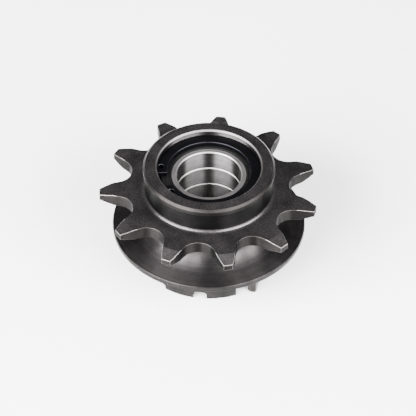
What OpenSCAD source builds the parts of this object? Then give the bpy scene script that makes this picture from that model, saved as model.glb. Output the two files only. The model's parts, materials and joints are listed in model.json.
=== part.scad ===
// Bicycle cog: a single-speed driver. The toothed cog, its bearing collar, a thin dust flange and
// a castellated pawl carrier are turned from one bar. Three cartridge bearings sit in the bore,
// held by an internal retaining ring, and three sprung pawls lie in pockets of the carrier.
// Origin: on the bore axis, at the mid-plane of the teeth. +Z points to the outboard side.

/* [Cog] */
// Number of teeth
teeth = 11; // [10:1:18]
// Chain pitch, from roller centre to roller centre
chain_pitch = 12.7; // [12.2:0.1:13.2]
// Thickness of the toothed disc
cog_t = 3; // [2.2:0.1:4]
// Radius of the seat that a chain roller lies in
roller_seat_r = 3.95; // [3.85:0.01:4.05]
// Half of the arc over which the seat holds the roller, in degrees
seat_arc = 62; // [60:0.5:64]
// Height of the tooth tips above the pitch circle
tip_rise = 2.86; // [2.6:0.02:3]
// Width of a tooth at its tip
tip_w = 2.08; // [1.8:0.02:2.3]
// Thickness of a tooth at its tip, between the two bevels
tip_t = 1.5; // [1:0.1:2]
// Radial length of the bevels on the teeth
bevel_l = 3.1; // [2:0.1:4]
// Direction of the first tooth, in degrees from +X
tooth_turn = 83.8; // [0:0.1:90]

/* [Collar] */
// Height of the bearing collar above the cog
collar_h = 6.85; // [6:0.05:9]
// Radius of the collar's wall
collar_r = 14.95; // [14.2:0.05:15.1]
// Step by which the collar's rim stands out from its wall
rim_step = 0.3; // [0.1:0.05:0.4]
// Height of the rim
rim_h = 1.5; // [1.2:0.1:3]
// Chamfer on the rim's top edge
rim_chamfer = 0.55; // [0.2:0.05:0.7]
// Fillet between the collar and the cog's face
collar_fillet = 0.9; // [0.5:0.1:2]

/* [Neck and flange] */
// Radius of the neck between the cog and the flange
neck_r = 13.9; // [13.4:0.1:14.4]
// Length of the neck
neck_l = 7.44; // [6.8:0.02:10]
// Fillet between the neck and the flange
flange_fillet = 4.5; // [3:0.1:4.8]
// Fillet between the neck and the cog
cog_fillet = 2; // [0.5:0.1:2]
// Radius of the dust flange
flange_r = 22.44; // [20:0.02:24]
// Thickness of the dust flange
flange_t = 1.52; // [1:0.02:2.5]
// Broken edge of the flange's rim
flange_edge = 0.25; // [0.1:0.05:0.4]

/* [Pawl carrier] */
// Radius of the pawl carrier
carrier_r = 17.2; // [17:0.05:17.5]
// Length of the pawl carrier below the flange
carrier_l = 7.59; // [7:0.01:10]
// Broken edge at the carrier's end
carrier_edge = 0.3; // [0.1:0.05:0.5]
// Direction of the first lug's middle, in degrees from +X
lug_turn = -96.8; // [-120:0.1:-60]
// Width of a lug, in degrees
lug_arc = 57.7; // [54:0.1:60]
// Width of a pawl pocket, in degrees
pocket_arc = 32.3; // [30:0.1:35]
// Step by which the carrier is cut back behind a pawl's heel
relief_step = 0.6; // [0.4:0.05:0.65]
// Height of the same cut at the carrier's end
relief_h = 0.9; // [0.5:0.05:1.5]
// Width of the notch in the end of each lug
notch_w = 3.15; // [2.2:0.05:4]
// Depth of the notch
notch_h = 2.2; // [1.5:0.05:3]
// Rounding of the notch's corners
notch_round = 1; // [0.3:0.05:1.1]

/* [Pawls] */
// Distance from the axis to a pawl's pivot
pivot_r = 14.6; // [14.4:0.02:14.8]
// Angle by which a pivot lies behind its pocket's end, in degrees
pivot_back = 2.3; // [2:0.1:2.6]
// Radius of a pawl's round heel
heel_r = 1.5; // [1.4:0.02:1.6]
// Running clearance of the heel in its seat
heel_clear = 0.05; // [0.03:0.01:0.1]
// Angle between a pawl at rest and the radius through its pivot, in degrees
pawl_rest = 70.2; // [68:0.1:72]
// Length of a pawl from its pivot to its biting edge
pawl_l = 7.15; // [6.8:0.05:7.4]
// Height of a pawl's outer flank above the line through its pivot
pawl_top = 0.4; // [0.2:0.05:0.6]
// Depth of a pawl's underside below the same line, at its tip
pawl_under = 1.64; // [1.4:0.02:1.8]
// Gap between a pawl and the flange, and between a pawl and the carrier's end
pawl_end_gap = 0.1; // [0.05:0.05:0.4]

/* [Pawl springs] */
// Thickness of a leaf spring
leaf_t = 0.18; // [0.12:0.02:0.24]
// Width of a leaf spring
leaf_w = 5; // [3:0.1:6]
// Length of the leaf's tail in the lug, in degrees
leaf_tail = 3.6; // [2:0.1:5]
// Angle from the pocket's end to the hairpin bend, in degrees
leaf_bend = 10.4; // [8:0.2:13]
// Gap between the leaf and what it lies against
leaf_gap = 0.05; // [0.02:0.01:0.1]
// Distance along the pawl from its pivot to where the leaf presses
leaf_reach = 5; // [4:0.1:5.6]

/* [Bearings] */
// Bore of the bearings, which is the axle's diameter
brg_bore = 15; // [14.6:0.1:15.2]
// Outer diameter of the bearings
brg_od = 24; // [23.8:0.05:24.4]
// Width of a bearing
brg_w = 5; // [4.9:0.05:5.4]
// Diameter of a bearing ball
ball_d = 2.381; // [2.1:0.001:2.45]
// Number of balls in a bearing
balls = 14; // [8:1:14]
// Diameter of the circle that the balls' centres lie on
ball_circle_d = 19.5; // [19.3:0.05:19.6]
// Running clearance of a ball in its grooves
ball_clear = 0.03; // [0.02:0.01:0.08]
// Thickness of the inner race at its face
inner_face_t = 1.15; // [1:0.05:1.2]
// Chamfer on the races
race_chamfer = 0.3; // [0.15:0.05:0.4]
// Amount by which each face of an inner race stands back from its outer race
inner_race_back = 0.02; // [0.01:0.01:0.05]
// Thickness of a rubber seal
seal_t = 0.5; // [0.3:0.05:0.55]
// Depth of a seal below the bearing's face
seal_depth = 0.12; // [0.05:0.01:0.2]
// Running gap between a seal's lip and the inner race
seal_gap = 0.07; // [0.04:0.01:0.1]
// Thickness of the wall of a ball cage
cage_t = 1.1; // [0.8:0.05:1.2]
// Wall of the spacer tube between the middle and inboard bearings
spacer_t = 1.2; // [0.8:0.05:2]
// Depth of the inboard bearing inside the carrier's end
end_recess = 1; // [0.5:0.05:2]

/* [Retaining ring] */
// Land between the collar's top face and the ring's groove
groove_land = 1.5; // [1.2:0.05:2]
// Depth of the ring's groove in the bore
groove_depth = 0.6; // [0.3:0.05:0.8]
// Thickness of the retaining ring
ring_t = 1.2; // [0.8:0.05:1.6]
// Clearance of the ring in its groove
ring_clear = 0.05; // [0.02:0.01:0.1]
// Radial width of the ring
ring_w = 2.9; // [2.4:0.05:3.2]
// Width of the ring's gap, in degrees
ring_gap = 24; // [16:0.5:40]
// Direction of the gap, in degrees from +X
ring_turn = 196; // [0:1:360]
// Diameter of the two plier holes
plier_hole_d = 1.4; // [1:0.05:1.6]
// Distance of a plier hole from the ring's cut end, in degrees
plier_hole_arc = 11; // [8:0.5:15]
// Chamfer at the mouth of the bore
mouth_chamfer = 0.4; // [0.1:0.05:0.5]

/* [Hidden] */
$fn = 96;

steel_dark = "#3b393a";
ring_black = "#1f1f26";
steel_bright = "#c9cacd";
rubber_black = "#121214";

// How far a cutting shape runs past the face that it cuts, and how far past an angle
over = 0.5;
over_turn = 0.4;

// Radii of the cog
pitch_r = chain_pitch / 2 / sin(180 / teeth);
tip_r = pitch_r + tip_rise;
rim_r = collar_r + rim_step;

// Radii of the bearings
seat_r = brg_od / 2;
bore_r = brg_bore / 2;
ball_r = ball_d / 2;
ball_circle_r = ball_circle_d / 2;
groove_r = ball_r + ball_clear;
// How far the races' shoulders stand from the ball circle, so that the balls lie in grooves
shoulder_share = 0.36;
race_shoulder = shoulder_share * ball_d;
outer_land_r = ball_circle_r + race_shoulder - ball_clear;
inner_land_r = ball_circle_r - race_shoulder + ball_clear;
inner_face_r = bore_r + inner_face_t;
// Step of the outer race in which a seal's rim is held
seal_seat = 0.4;
seal_seat_r = outer_land_r + seal_seat;
seal_fit = 0.02;
// A shallow line round the seal, and its distance from the inner race
seal_line = 0.1;
seal_line_r = inner_face_r + 4 * seal_line;
race_edge = 0.1;
// Space between a seal and the shoulders, and between the shoulders and the cage
inner_space = 0.15;
shoulder_half_w = brg_w / 2 - seal_depth - seal_t - inner_space;
// The cage clears its balls, both lands and the seals
cage_hole_r = ball_r + 2 * ball_clear;
cage_half_w = shoulder_half_w - inner_space;

// Heights along the axis
collar_z = cog_t / 2 + collar_h;
groove_top_z = collar_z - groove_land;
groove_low_z = groove_top_z - ring_t - 2 * ring_clear;
ring_z = groove_low_z + ring_clear;
flange_top_z = -cog_t / 2 - neck_l;
flange_low_z = flange_top_z - flange_t;
carrier_z = flange_low_z - carrier_l;
outboard_z = ring_z - brg_w / 2;
middle_z = outboard_z - brg_w;
upper_seat_z = middle_z - brg_w / 2;
inboard_z = carrier_z + end_recess + brg_w / 2;
lower_seat_z = inboard_z + brg_w / 2;

// Pawl carrier
pawls = 3;
pocket_floor_r = pivot_r - heel_r;
pocket_start = lug_turn + lug_arc / 2;
pocket_end = pocket_start + pocket_arc;
relief_end = pocket_start + 360 / pawls - lug_arc;
// How far a notch reaches in past the neck's radius
notch_in = 2.5;
pivot_turn = pocket_end + pivot_back;
pivot = pivot_r * [cos(pivot_turn), sin(pivot_turn)];
blade_turn = pivot_turn - pawl_rest;

// Points of a pawl's plan: its blade leaves the round heel at the root, between the shoulder
// and the hip, and its tip has a broken edge, a biting face and a toe
pawl_root = 0.4;
pawl_shoulder = 1.03;
pawl_hip = 1.32;
tip_edge = [0.2, 0.87];
tip_face = [0.31, 1.72];
pawl_toe = 0.24;

// Leaf spring: its tail and floor leg follow the pocket's floor, and its free leg runs
// from the hairpin bend to the underside of the pawl
leaf_mid_r = pocket_floor_r + leaf_gap + leaf_t / 2;
leaf_start = pocket_start - leaf_tail;
leaf_turn = pocket_end - leaf_bend;
bend_gap = 0.06;
bend_r = leaf_t / 2 + bend_gap;
leaf_lift = 0.75;
leaf_low_z = carrier_z + leaf_lift;
slot_clear = 0.04;
press_depth = pawl_under + leaf_gap + leaf_t / 2;
press_point = pivot
    + leaf_reach * [cos(blade_turn), sin(blade_turn)]
    + press_depth * [sin(blade_turn), -cos(blade_turn)];

// A rectangle of the section, between two radii and two heights
module band(r0, r1, z0, z1) {
    translate([r0, z0]) square([r1 - r0, z1 - z0]);
}

// The corner piece of a fillet at radius r and height z, which opens outwards and
// upwards (up = 1) or downwards (up = -1)
module corner_fillet(r, z, f, up) {
    difference() {
        translate([r, up > 0 ? z : z - f]) square([f, f]);
        translate([r + f, z + up * f]) circle(f);
    }
}

// A circular sector of the plane, from the axis to radius r
module sector(r, a0, a1) {
    am = (a0 + a1) / 2;
    polygon([
        [0, 0],
        r * [cos(a0), sin(a0)],
        r / cos((a1 - a0) / 2) * [cos(am), sin(am)],
        r * [cos(a1), sin(a1)]
    ]);
}

// One gap between two teeth, pointing along +Y: a round roller seat that runs
// tangentially into the convex flanks of both teeth
module tooth_gap() {
    half = 180 / teeth - asin(tip_w / 2 / tip_r);
    tip = tip_r * [sin(half), cos(half)];
    aim = [sin(seat_arc), -cos(seat_arc)];
    to_tip = tip - [0, pitch_r];
    from_seat = to_tip - roller_seat_r * aim;
    flank_r = (from_seat * from_seat) / (2 * (to_tip * aim - roller_seat_r));
    flank_c = [0, pitch_r] + (roller_seat_r + flank_r) * aim;
    mouth_r = tip_r + over;
    mouth_w = mouth_r * tan(180 / teeth);
    low = pitch_r + roller_seat_r * aim[1];
    translate([0, pitch_r]) circle(roller_seat_r);
    difference() {
        translate([-mouth_w, low]) square([2 * mouth_w, mouth_r - low]);
        for (side = [-1, 1]) {
            translate([side * flank_c[0], flank_c[1]]) circle(flank_r);
        }
    }
}

// The collar's wall and its rim, with a chamfered top edge
module collar_section() {
    low = collar_z - rim_h;
    band(bore_r, collar_r, 0, low);
    polygon([
        [bore_r, low - rim_step],
        [collar_r, low - rim_step],
        [rim_r, low],
        [rim_r, collar_z - rim_chamfer],
        [rim_r - rim_chamfer, collar_z],
        [bore_r, collar_z]
    ]);
    corner_fillet(collar_r, cog_t / 2, collar_fillet, 1);
}

// The toothed disc before its gaps are cut, bevelled on both faces
module disc_section() {
    polygon([
        [bore_r, -cog_t / 2],
        [tip_r - bevel_l, -cog_t / 2],
        [tip_r, -tip_t / 2],
        [tip_r, tip_t / 2],
        [tip_r - bevel_l, cog_t / 2],
        [bore_r, cog_t / 2]
    ]);
}

// The dust flange, with both edges of its rim broken
module flange_section() {
    polygon([
        [bore_r, flange_low_z],
        [flange_r - flange_edge, flange_low_z],
        [flange_r, flange_low_z + flange_edge],
        [flange_r, flange_top_z - flange_edge],
        [flange_r - flange_edge, flange_top_z],
        [bore_r, flange_top_z]
    ]);
}

module carrier_section() {
    polygon([
        [bore_r, carrier_z],
        [carrier_r - carrier_edge, carrier_z],
        [carrier_r, carrier_z + carrier_edge],
        [carrier_r, flange_low_z + over],
        [bore_r, flange_low_z + over]
    ]);
}

// All that is bored out: two bearing seats, the ring's groove and the chamfered mouths
module bore_section() {
    band(0, seal_seat_r, carrier_z - over, collar_z + over);
    band(0, seat_r, upper_seat_z, collar_z + over);
    band(0, seat_r, carrier_z - over, lower_seat_z);
    band(0, seat_r + groove_depth, groove_low_z, groove_top_z);
    polygon([
        [0, collar_z + over],
        [0, collar_z - mouth_chamfer],
        [seat_r, collar_z - mouth_chamfer],
        [seat_r + mouth_chamfer, collar_z],
        [seat_r + mouth_chamfer, collar_z + over]
    ]);
    polygon([
        [0, carrier_z - over],
        [0, carrier_z + mouth_chamfer],
        [seat_r, carrier_z + mouth_chamfer],
        [seat_r + mouth_chamfer, carrier_z],
        [seat_r + mouth_chamfer, carrier_z - over]
    ]);
}

// Plan of one pawl pocket, with the round seat that wraps the pawl's heel
module pocket_plan() {
    difference() {
        sector(carrier_r + over, pocket_start, pocket_end);
        circle(pocket_floor_r);
    }
    translate(pivot) circle(heel_r + heel_clear);
}

// Slot in the lug for the tail of the leaf spring
module leaf_slot_plan() {
    intersection() {
        sector(carrier_r, leaf_start - over_turn, pocket_start + over_turn);
        difference() {
            circle(leaf_mid_r + leaf_t / 2 + slot_clear);
            circle(leaf_mid_r - leaf_t / 2 - slot_clear);
        }
    }
}

// The step behind a pawl's heel, where the carrier is cut back as far as the next lug
module heel_relief() {
    for (cut = [[carrier_r - relief_step, carrier_l], [pocket_floor_r, relief_h]]) {
        translate([0, 0, carrier_z - over]) linear_extrude(cut[1] + over) difference() {
            sector(carrier_r + over, pocket_end - over_turn, relief_end);
            circle(cut[0]);
        }
    }
}

// Notch in the end of a lug, seen along the radius
module notch_face() {
    low = -over;
    translate([-notch_w / 2, low]) square([notch_w, notch_h - notch_round - low]);
    translate([-notch_w / 2 + notch_round, low]) square([notch_w - 2 * notch_round, notch_h - low]);
    for (side = [-1, 1]) {
        translate([side * (notch_w / 2 - notch_round), notch_h - notch_round]) circle(notch_round);
    }
}

module driver_body() {
    color(steel_dark)
    difference() {
        rotate_extrude($fn = 180) difference() {
            union() {
                collar_section();
                disc_section();
                band(bore_r, neck_r, flange_top_z - over / 2, 0);
                corner_fillet(neck_r, -cog_t / 2, cog_fillet, -1);
                corner_fillet(neck_r, flange_top_z, flange_fillet, 1);
                flange_section();
                carrier_section();
            }
            bore_section();
        }
        for (i = [0 : teeth - 1]) {
            rotate(tooth_turn - 90 + (i + 0.5) * 360 / teeth)
            translate([0, 0, -cog_t / 2 - over]) linear_extrude(cog_t + 2 * over) tooth_gap();
        }
        for (k = [0 : pawls - 1]) {
            rotate(k * 360 / pawls) {
                translate([0, 0, carrier_z - over]) linear_extrude(carrier_l + over) pocket_plan();
                translate([0, 0, carrier_z - over])
                linear_extrude(leaf_low_z + leaf_w - carrier_z + over) leaf_slot_plan();
                heel_relief();
                rotate(lug_turn) translate([neck_r - notch_in, 0, carrier_z])
                rotate([90, 0, 90]) linear_extrude(carrier_r - neck_r + notch_in + over) notch_face();
            }
        }
    }
}

module retaining_ring() {
    outer = seat_r + groove_depth - ring_clear;
    hole_r = outer - ring_w / 2;
    color(ring_black)
    translate([0, 0, ring_z]) linear_extrude(ring_t) difference() {
        circle(outer, $fn = 180);
        circle(outer - ring_w, $fn = 180);
        sector(outer + over, ring_turn - ring_gap / 2, ring_turn + ring_gap / 2);
        for (side = [-1, 1]) {
            rotate(ring_turn + side * (ring_gap / 2 + plier_hole_arc))
            translate([hole_r, 0]) circle(plier_hole_d / 2);
        }
    }
}

// Outer race, with its ball groove and the steps that hold the seals
module outer_race(z) {
    h = brg_w / 2;
    c = race_chamfer;
    color(steel_bright)
    translate([0, 0, z]) rotate_extrude($fn = 180) difference() {
        polygon([
            [seal_seat_r, -h],
            [seat_r - c, -h],
            [seat_r, -h + c],
            [seat_r, h - c],
            [seat_r - c, h],
            [seal_seat_r, h],
            [seal_seat_r, shoulder_half_w],
            [outer_land_r, shoulder_half_w],
            [outer_land_r, -shoulder_half_w],
            [seal_seat_r, -shoulder_half_w]
        ]);
        translate([ball_circle_r, 0]) circle(groove_r);
    }
}

// Inner race, with chamfers that lead the axle in
module inner_race(z) {
    h = brg_w / 2 - inner_race_back;
    c = race_chamfer;
    e = race_edge;
    color(steel_bright)
    translate([0, 0, z]) rotate_extrude($fn = 180) difference() {
        polygon([
            [bore_r, -h + c],
            [bore_r + c, -h],
            [inner_face_r - e, -h],
            [inner_face_r, -h + e],
            [inner_face_r, -shoulder_half_w],
            [inner_land_r, -shoulder_half_w],
            [inner_land_r, shoulder_half_w],
            [inner_face_r, shoulder_half_w],
            [inner_face_r, h - e],
            [inner_face_r - e, h],
            [bore_r + c, h],
            [bore_r, h - c]
        ]);
        translate([ball_circle_r, 0]) circle(groove_r);
    }
}

module ball_set(z) {
    color(steel_bright)
    for (i = [0 : balls - 1]) {
        rotate(i * 360 / balls) translate([ball_circle_r, 0, z]) sphere(ball_r);
    }
}

// One-piece ring cage with a round pocket for each ball
module ball_cage(z) {
    color("silver")
    translate([0, 0, z]) difference() {
        rotate_extrude($fn = 180)
        band(ball_circle_r - cage_t / 2, ball_circle_r + cage_t / 2, -cage_half_w, cage_half_w);
        for (i = [0 : balls - 1]) {
            rotate(i * 360 / balls) translate([ball_circle_r - cage_t, 0, 0])
            rotate([0, 90, 0]) cylinder(h = 2 * cage_t, r = cage_hole_r);
        }
    }
}

// Contact seal on one side of a bearing (up = 1 or -1), with a shallow line round its lip
module bearing_seal(z, up) {
    top = brg_w / 2 - seal_depth;
    low = top - seal_t;
    inner = inner_face_r + seal_gap;
    outer = seal_seat_r - seal_fit;
    color(rubber_black)
    translate([0, 0, z]) mirror([0, 0, up > 0 ? 0 : 1]) rotate_extrude($fn = 180)
    polygon([
        [inner, low],
        [outer, low],
        [outer, top],
        [seal_line_r + seal_line, top],
        [seal_line_r + seal_line, top - seal_line],
        [seal_line_r, top - seal_line],
        [seal_line_r, top],
        [inner, top]
    ]);
}

// Tube that keeps the middle and inboard inner races apart
module bearing_spacer() {
    top = upper_seat_z + inner_race_back;
    low = lower_seat_z;
    c = race_edge;
    color(steel_bright)
    rotate_extrude($fn = 180) polygon([
        [bore_r, low + c],
        [bore_r + c, low],
        [bore_r + spacer_t - c, low],
        [bore_r + spacer_t, low + c],
        [bore_r + spacer_t, top - c],
        [bore_r + spacer_t - c, top],
        [bore_r + c, top],
        [bore_r, top - c]
    ]);
}

// Plan of a pawl's blade, pivot at the origin and blade along +X, biting edge upwards
module blade_plan() {
    polygon([
        [pawl_root, pawl_shoulder],
        [heel_r - pawl_root, pawl_shoulder],
        [heel_r + pawl_root, pawl_top],
        [pawl_l - tip_edge[0], pawl_top],
        [pawl_l, pawl_top - tip_edge[1]],
        [pawl_l - tip_face[0], pawl_top - tip_face[1]],
        [pawl_l - tip_face[0] - pawl_toe, -pawl_under],
        [pawl_root, -pawl_hip]
    ]);
}

module pawl(k) {
    h = carrier_l - 2 * pawl_end_gap;
    color(steel_bright)
    rotate((k - 1) * 360 / pawls) translate([pivot[0], pivot[1], carrier_z + pawl_end_gap])
    rotate(blade_turn) {
        cylinder(h = h, r = heel_r);
        linear_extrude(h) blade_plan();
    }
}

// Side points of a strip of thickness t along a path, on the left (side = 1) or the right
function strip_side(path, t, side) = [
    for (i = [0 : len(path) - 1])
        let (
            a = path[max(i - 1, 0)],
            b = path[min(i + 1, len(path) - 1)],
            d = (b - a) / norm(b - a)
        )
        path[i] + side * t / 2 * [-d[1], d[0]]
];

function reversed(list) = [for (i = [len(list) - 1 : -1 : 0]) list[i]];

// Middle line of a leaf spring: an arc along the floor, a hairpin bend and a straight leg
function leaf_path() =
    let (
        bend_c = (leaf_mid_r + bend_r) * [cos(leaf_turn), sin(leaf_turn)]
    )
    concat(
        [for (i = [0 : 8])
            let (a = leaf_start + (leaf_turn - leaf_start) * i / 8)
            leaf_mid_r * [cos(a), sin(a)]],
        [for (i = [1 : 5])
            let (a = leaf_turn + 180 - 180 * i / 6)
            bend_c + bend_r * [cos(a), sin(a)]],
        [bend_c + bend_r * [cos(leaf_turn), sin(leaf_turn)], press_point]
    );

module pawl_spring(k) {
    path = leaf_path();
    color("lightsteelblue")
    rotate((k - 1) * 360 / pawls) translate([0, 0, leaf_low_z]) linear_extrude(leaf_w)
    polygon(concat(strip_side(path, leaf_t, 1), reversed(strip_side(path, leaf_t, -1))));
}

driver_body();
retaining_ring();
bearing_spacer();
outer_race(outboard_z);  // outboard_outer_race
inner_race(outboard_z);  // outboard_inner_race
ball_set(outboard_z);  // outboard_balls
ball_cage(outboard_z);  // outboard_cage
bearing_seal(outboard_z, 1);  // outboard_upper_seal
bearing_seal(outboard_z, -1);  // outboard_lower_seal
outer_race(middle_z);  // middle_outer_race
inner_race(middle_z);  // middle_inner_race
ball_set(middle_z);  // middle_balls
ball_cage(middle_z);  // middle_cage
bearing_seal(middle_z, 1);  // middle_upper_seal
bearing_seal(middle_z, -1);  // middle_lower_seal
outer_race(inboard_z);  // inboard_outer_race
inner_race(inboard_z);  // inboard_inner_race
ball_set(inboard_z);  // inboard_balls
ball_cage(inboard_z);  // inboard_cage
bearing_seal(inboard_z, 1);  // inboard_upper_seal
bearing_seal(inboard_z, -1);  // inboard_lower_seal
pawl(1);  // pawl_1
pawl(2);  // pawl_2
pawl(3);  // pawl_3
pawl_spring(1);  // pawl_spring_1
pawl_spring(2);  // pawl_spring_2
pawl_spring(3);  // pawl_spring_3
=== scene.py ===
"""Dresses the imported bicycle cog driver: phosphated steel round bright sealed bearings."""

import json
import logging
import math
from dataclasses import dataclass
from enum import Enum
from typing import Iterable, Optional, Sequence

import bmesh
import bpy
from mathutils import Matrix, Vector

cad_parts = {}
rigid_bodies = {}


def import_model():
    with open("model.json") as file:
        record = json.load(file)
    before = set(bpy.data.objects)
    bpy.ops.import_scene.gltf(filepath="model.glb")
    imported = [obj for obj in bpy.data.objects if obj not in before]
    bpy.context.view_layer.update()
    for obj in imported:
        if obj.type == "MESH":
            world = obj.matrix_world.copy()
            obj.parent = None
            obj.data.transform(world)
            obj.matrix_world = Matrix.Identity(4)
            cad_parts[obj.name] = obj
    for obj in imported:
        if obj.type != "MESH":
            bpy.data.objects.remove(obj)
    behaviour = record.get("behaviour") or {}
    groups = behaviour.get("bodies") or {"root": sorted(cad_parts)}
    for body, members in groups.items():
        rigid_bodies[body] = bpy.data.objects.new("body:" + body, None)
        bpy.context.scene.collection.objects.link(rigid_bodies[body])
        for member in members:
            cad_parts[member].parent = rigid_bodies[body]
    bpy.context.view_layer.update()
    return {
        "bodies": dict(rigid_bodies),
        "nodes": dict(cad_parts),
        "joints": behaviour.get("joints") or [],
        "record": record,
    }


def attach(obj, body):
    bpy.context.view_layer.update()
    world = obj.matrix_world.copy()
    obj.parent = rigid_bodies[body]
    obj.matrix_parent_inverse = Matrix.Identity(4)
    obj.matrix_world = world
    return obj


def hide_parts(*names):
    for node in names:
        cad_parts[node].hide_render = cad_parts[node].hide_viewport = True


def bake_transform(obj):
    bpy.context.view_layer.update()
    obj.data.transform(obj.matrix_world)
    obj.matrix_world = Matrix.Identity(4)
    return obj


log = logging.getLogger("cog")
MM = 0.001
Point = tuple[float, float]
# Edges shorter than this, in millimetres, are closed up before a piece's edges are broken.
TINY_EDGE = 0.01
# An edge is broken where its faces turn by more than this, in degrees.
SHARP = 28
# How far cutters reach past the blank, in millimetres: along the axis and across it.
OVER_AXIS, OVER_RADIUS = 0.5, 0.6
# The bearings' names and the heights of their middles, in millimetres.
BEARINGS = (("outboard", 3.1), ("middle", -1.9), ("inboard", -14.55))
# Sizes of the phosphate's grit and of the bare specks in it, in millimetres.
GRIT, SPECK = 0.18, 0.32
# Where a noise's usual values begin and end, and those of two noises multiplied.
NOISE = (0.3, 0.7)
NOISE_SQUARED = (0.14, 0.4)
# The few highest values of a noise, where specks begin and where they are full.
PEAKS = (0.72, 0.8)


class Side(Enum):
    """The two directions along the bore axis."""

    OUTBOARD = 1
    INBOARD = -1


def linear(code: str) -> tuple[float, float, float, float]:
    """Turns an sRGB hex colour to linear values.

    Args:
        code: the colour, such as "#3a3838".

    Returns:
        Red, green, blue and an alpha of 1.
    """
    parts = [int(code[i : i + 2], 16) / 255 for i in (1, 3, 5)]
    low = [c / 12.92 if c <= 0.04045 else ((c + 0.055) / 1.055) ** 2.4 for c in parts]
    return (low[0], low[1], low[2], 1.0)


def turn(radius: float, angle: float, height: float = 0.0) -> Vector:
    """Returns the point at a radius and an angle in degrees, in the units given."""
    a = math.radians(angle)
    return Vector((radius * math.cos(a), radius * math.sin(a), height))


def arc(centre: Point, radius: float, start: float, end: float, steps: int) -> list[Point]:
    """Points along an arc of a flat outline.

    Args:
        centre: centre of the arc.
        radius: its radius.
        start: first angle in degrees.
        end: last angle in degrees.
        steps: number of chords.

    Returns:
        The points, both ends included.
    """
    angles = [math.radians(start + (end - start) * i / steps) for i in range(steps + 1)]
    return [(centre[0] + radius * math.cos(a), centre[1] + radius * math.sin(a)) for a in angles]


def add_object(name: str, bm: bmesh.types.BMesh) -> bpy.types.Object:
    """Makes an object in metres out of a bmesh in millimetres, and frees the bmesh.

    Args:
        name: name of the new object.
        bm: the bmesh.

    Returns:
        The object.
    """
    bmesh.ops.remove_doubles(bm, verts=bm.verts, dist=1e-5)
    bmesh.ops.recalc_face_normals(bm, faces=bm.faces)
    bmesh.ops.scale(bm, vec=(MM, MM, MM), verts=bm.verts)
    mesh = bpy.data.meshes.new(name)
    bm.to_mesh(mesh)
    bm.free()
    mesh.shade_smooth()
    made = bpy.data.objects.new(name, mesh)
    bpy.context.scene.collection.objects.link(made)
    return made


def lathe(name: str, outline: Sequence[Point], steps: int, start: float = 0.0) -> bpy.types.Object:
    """Turns a closed outline of (radius, height) points round the bore axis.

    Args:
        name: name of the new object.
        outline: the section's points, in millimetres.
        steps: number of chords round the axis.
        start: angle of the first section, in degrees.

    Returns:
        The turned object.
    """
    bm = bmesh.new()
    verts = [bm.verts.new(turn(r, start, z)) for r, z in outline]
    edges = [bm.edges.new((a, b)) for a, b in zip(verts, verts[1:] + verts[:1])]
    bmesh.ops.spin(
        bm,
        geom=verts + edges,
        cent=(0, 0, 0),
        axis=(0, 0, 1),
        angle=2 * math.pi,
        steps=steps,
        use_merge=True,
    )
    return add_object(name, bm)


def prism(
    bm: bmesh.types.BMesh, outline: Sequence[Point], low: float, high: float
) -> list[bmesh.types.BMVert]:
    """Adds an upright prism to a bmesh.

    Args:
        bm: the bmesh to add to.
        outline: the flat outline, in millimetres.
        low: height of its lower end.
        high: height of its upper end.

    Returns:
        The prism's vertices.
    """
    base = [bm.verts.new((x, y, low)) for x, y in outline]
    made = bmesh.ops.extrude_face_region(bm, geom=[bm.faces.new(base)])
    top = [v for v in made["geom"] if isinstance(v, bmesh.types.BMVert)]
    bmesh.ops.translate(bm, vec=(0, 0, high - low), verts=top)
    return base + top


def swing(
    bm: bmesh.types.BMesh, verts: Sequence[bmesh.types.BMVert], angle: float
) -> None:
    """Turns a bmesh's vertices round the bore axis by an angle in radians."""
    bmesh.ops.rotate(bm, cent=(0, 0, 0), matrix=Matrix.Rotation(angle, 3, "Z"), verts=verts)


def settle(piece: bpy.types.Object) -> None:
    """Applies a piece's modifiers to its mesh.

    Args:
        piece: the object.
    """
    bpy.context.view_layer.update()
    graph = bpy.context.evaluated_depsgraph_get()
    mesh = bpy.data.meshes.new_from_object(piece.evaluated_get(graph))
    piece.modifiers.clear()
    old = piece.data
    piece.data = mesh
    mesh.name = old.name + "_settled"
    bpy.data.meshes.remove(old)


def put_in_order(mesh: bpy.types.Mesh) -> None:
    """Sorts a mesh's parts by place, so that each run goes on from the same mesh.

    Args:
        mesh: the mesh.
    """
    slant = Vector((1.0, 0.6180339, 0.3247179))
    bm = bmesh.new()
    bm.from_mesh(mesh)
    bm.verts.sort(key=lambda vert: vert.co.dot(slant))
    bm.edges.sort(key=lambda edge: (edge.verts[0].co + edge.verts[1].co).dot(slant))
    bm.faces.sort(key=lambda face: face.calc_center_median().dot(slant))
    bm.to_mesh(mesh)
    bm.free()


def cut(target: bpy.types.Object, cutter: bpy.types.Object) -> None:
    """Cuts one closed object out of another, and removes the cutter.

    Args:
        target: the object to cut.
        cutter: the object that is cut out of it.
    """
    step = target.modifiers.new("cut", "BOOLEAN")
    step.operation = "DIFFERENCE"
    step.solver = "EXACT"
    step.object = cutter
    settle(target)
    bpy.data.objects.remove(cutter)
    put_in_order(target.data)
    target.data.shade_smooth()


def break_edges(piece: bpy.types.Object, width: float, material: int) -> None:
    """Closes up a piece's tiniest edges and rounds its sharp ones.

    Args:
        piece: the object.
        width: width of the rounding in millimetres.
        material: index of the material that the rounded edges take.
    """
    bm = bmesh.new()
    bm.from_mesh(piece.data)
    bmesh.ops.remove_doubles(bm, verts=bm.verts, dist=TINY_EDGE * MM)
    bm.to_mesh(piece.data)
    bm.free()
    step = piece.modifiers.new("broken_edges", "BEVEL")
    step.affect = "EDGES"
    step.limit_method = "ANGLE"
    step.angle_limit = math.radians(SHARP)
    step.width = width * MM
    step.segments = 2
    step.profile = 0.5
    step.material = material
    step.use_clamp_overlap = False
    step.loop_slide = False
    step.harden_normals = True


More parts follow.
